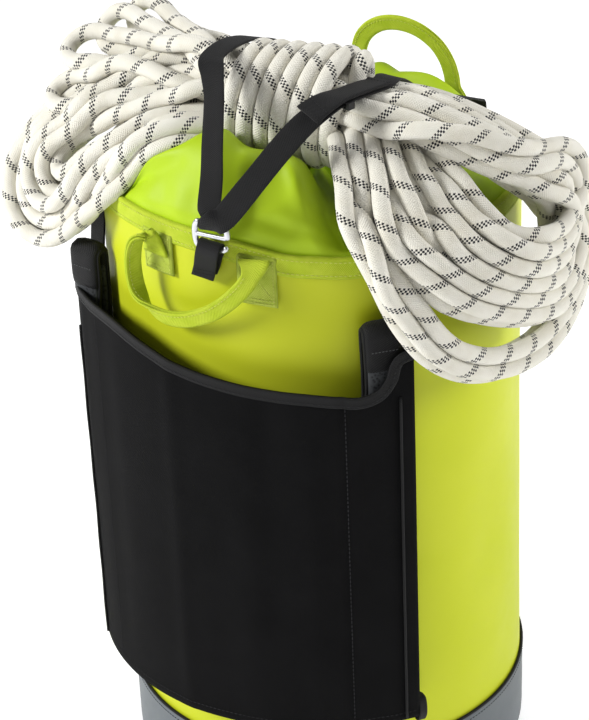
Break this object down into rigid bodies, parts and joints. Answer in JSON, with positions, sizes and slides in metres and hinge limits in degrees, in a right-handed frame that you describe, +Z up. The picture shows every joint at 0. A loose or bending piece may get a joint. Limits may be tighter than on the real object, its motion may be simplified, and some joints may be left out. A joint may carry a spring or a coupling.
{
  "type": "rope storage bag",
  "caption": "Upright cylindrical rope bag with a gathered collar, a harness cover, grab handles and a hooked load strap holding a coiled rope on top.",
  "frame": {"origin": "centre of the underside of the base, on the surface that the bag stands on", "axes": "+Z up; -Y towards the front, where the harness cover, the front handle and the hook are; +X to the right of someone who faces the front"},
  "size_m": [0.4032, 0.3312, 0.5809],
  "materials": {
    "coated_lime": "satin coated tarpaulin",
    "lime_webbing": "matte woven webbing",
    "collar_fabric": "silky thin nylon",
    "boot_fabric": "satin coated fabric",
    "foam_board": "matte foam",
    "black_canvas": "matte woven canvas",
    "black_webbing": "satin webbing",
    "mesh_pad": "matte spacer mesh",
    "black_plastic": "matte moulded plastic",
    "aluminium": "satin",
    "rope": "matte braided sheath"
  },
  "bodies": {
    "bag": {"base_boot": "boot_fabric", "base_panel": "foam_board", "boot_piping": "black_webbing", "body_tube": "coated_lime", "rim_band": "lime_webbing", "collar": "collar_fabric", "collar_hem": "lime_webbing", "back_pad": "mesh_pad", "front_patch_left": "lime_webbing", "front_patch_right": "lime_webbing", "rear_patch_left": "black_webbing", "rear_patch_right": "black_webbing", "hook_tab": "black_webbing", "strap_anchor_left": "black_webbing", "strap_anchor_right": "black_webbing", "cover_front": "black_canvas", "cover_hem": "black_webbing", "cover_side_left": "black_canvas", "cover_side_right": "black_canvas", "cover_bottom": "black_canvas", "cover_piping_left": "black_webbing", "cover_piping_right": "black_webbing", "cover_pull_tab": "black_webbing", "shoulder_strap_left": "mesh_pad", "shoulder_strap_right": "mesh_pad", "shoulder_anchor_left": "black_webbing", "shoulder_anchor_right": "black_webbing", "ladder_lock_left": "black_plastic", "ladder_lock_right": "black_plastic", "lower_webbing_left": "black_webbing", "lower_webbing_right": "black_webbing", "rope_wraps": "rope", "rope_left_lobe": "rope", "rope_right_lobe": "rope"},
    "load_strap": {"strap_left": "black_webbing", "strap_right": "black_webbing", "strap_fold": "black_webbing"},
    "adjuster": {"strap_doubler": "black_webbing", "adjuster_frame": "black_plastic"},
    "hook": {"hook": "aluminium"},
    "front_handle": {"front_handle": "lime_webbing"},
    "rear_handle": {"rear_handle": "lime_webbing"}
  },
  "joints": [
    {"name": "load_strap_swing", "type": "hinge", "parent": "bag", "child": "load_strap", "pos_m": [0, 0.145, 0.465], "axis": [-1, 0, 0], "range_deg": [0, 180], "deforming": ["hook_tab"]},
    {"name": "hook_swing", "type": "hinge", "parent": "load_strap", "child": "hook", "pos_m": [0.013, -0.16, 0.491], "axis": [-1, 0, 0], "range_deg": [0, 60], "deforming": ["hook_tab"]},
    {"name": "adjuster_slide", "type": "slide", "parent": "load_strap", "child": "adjuster", "axis": [0.2524, 0.9674, -0.021], "range_m": [0, 0.005]},
    {"name": "front_handle_swing", "type": "hinge", "parent": "bag", "child": "front_handle", "pos_m": [0, -0.1544, 0.468], "axis": [-1, 0, 0], "range_deg": [0, 118]},
    {"name": "rear_handle_swing", "type": "hinge", "parent": "bag", "child": "rear_handle", "pos_m": [0, 0.1544, 0.468], "axis": [-1, 0, 0], "range_deg": [0, 170]}
  ]
}
